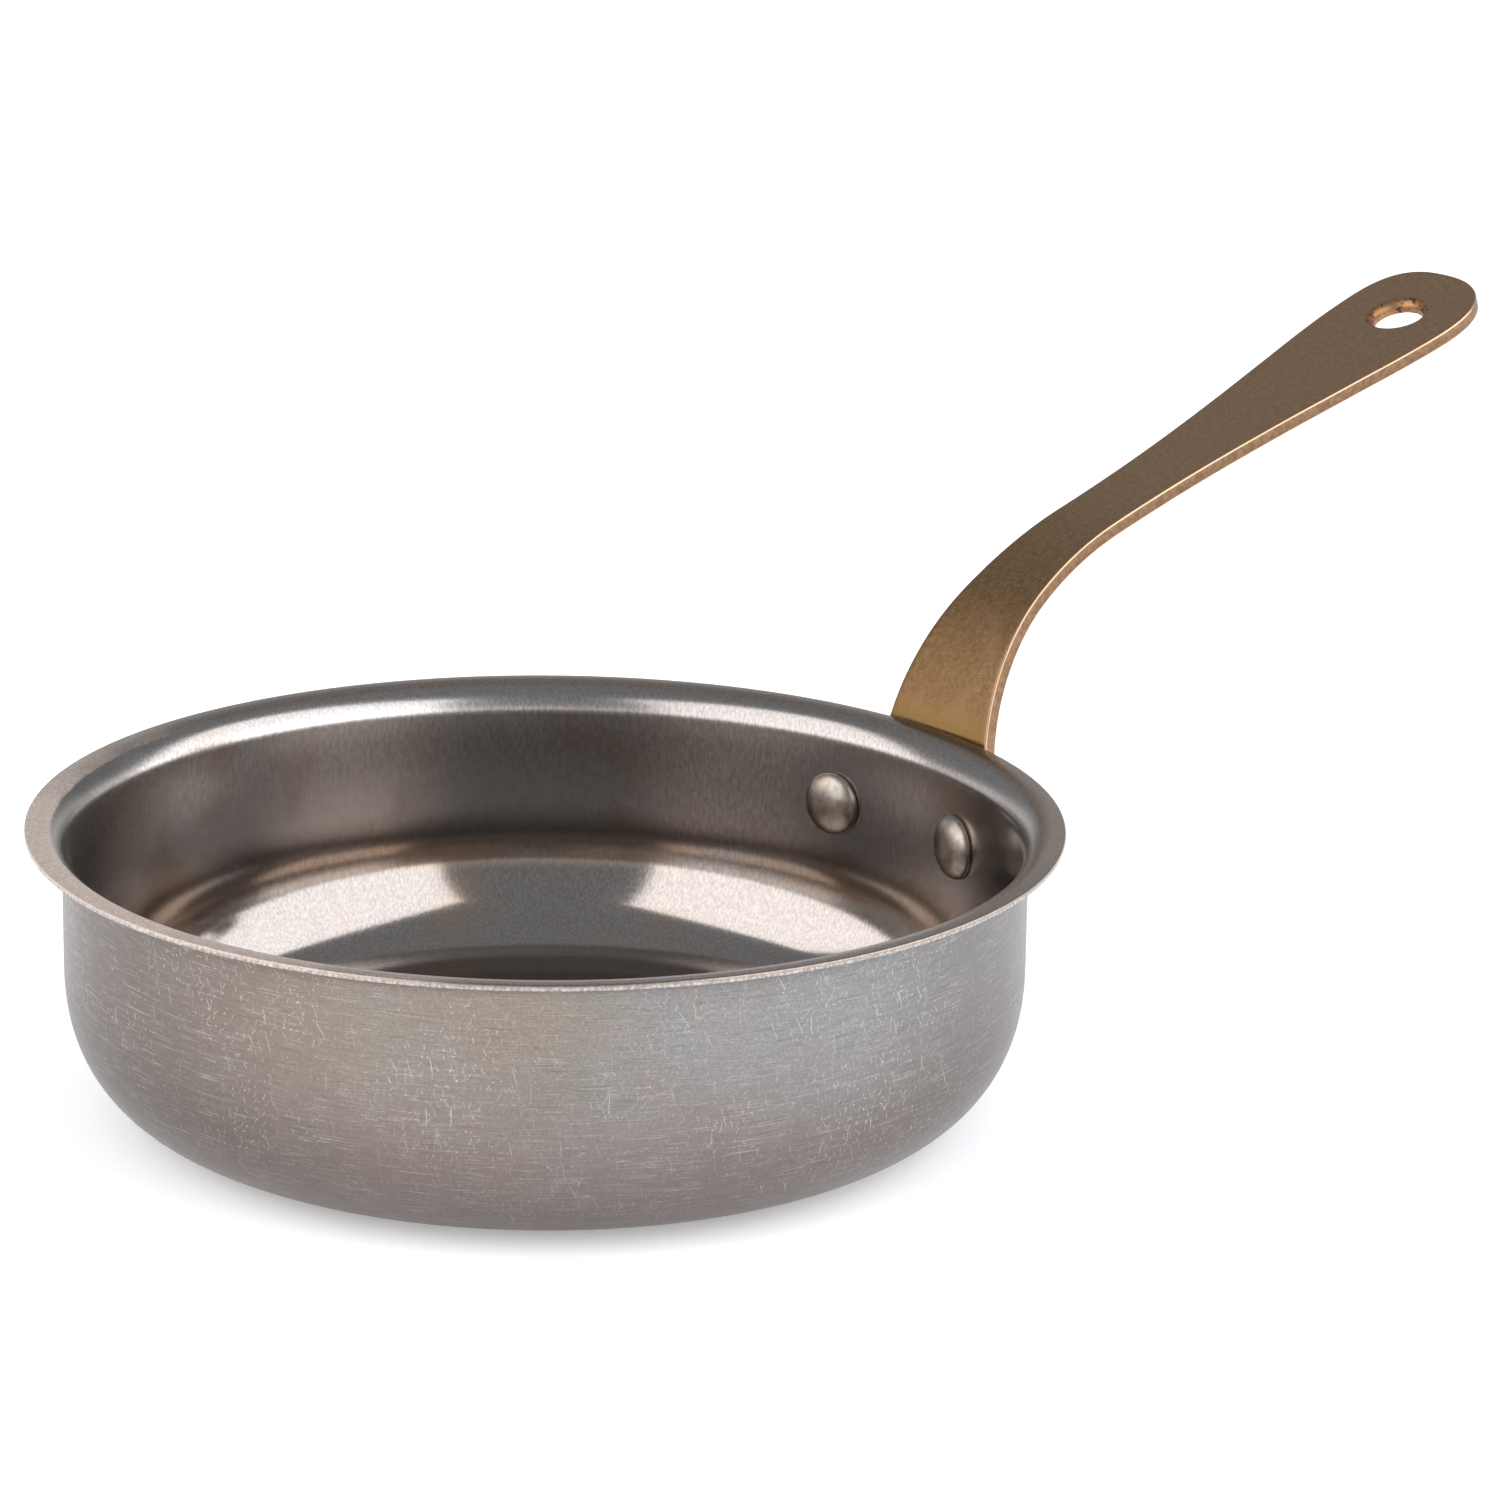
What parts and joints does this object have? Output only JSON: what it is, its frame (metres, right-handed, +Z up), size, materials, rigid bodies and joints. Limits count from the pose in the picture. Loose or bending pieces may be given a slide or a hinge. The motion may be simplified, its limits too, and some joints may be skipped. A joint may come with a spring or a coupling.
{
  "type": "low saucepan",
  "caption": "Low round cooking pan with a flared lip and a flat riveted bronze handle that widens to a leaf-shaped end with a hanging hole.",
  "frame": {"origin": "centre of the flat underside of the pan", "axes": "+X along the handle, away from the pan; +Z up out of the pan; the XZ plane is the plane of symmetry of all but the leaf's tip"},
  "size_m": [0.2802, 0.16, 0.1059],
  "materials": {
    "aged_steel": "antiqued: brushed round, darkened with brown and blue tints, lightly scratched",
    "aged_bronze": "antiqued: satin brown with paler, brighter edges",
    "rivet_steel": "antiqued, smooth domes"
  },
  "bodies": {
    "root": {"pan_body": "aged_steel", "handle": "aged_bronze", "rivet_left": "rivet_steel", "rivet_right": "rivet_steel"}
  },
  "joints": []
}
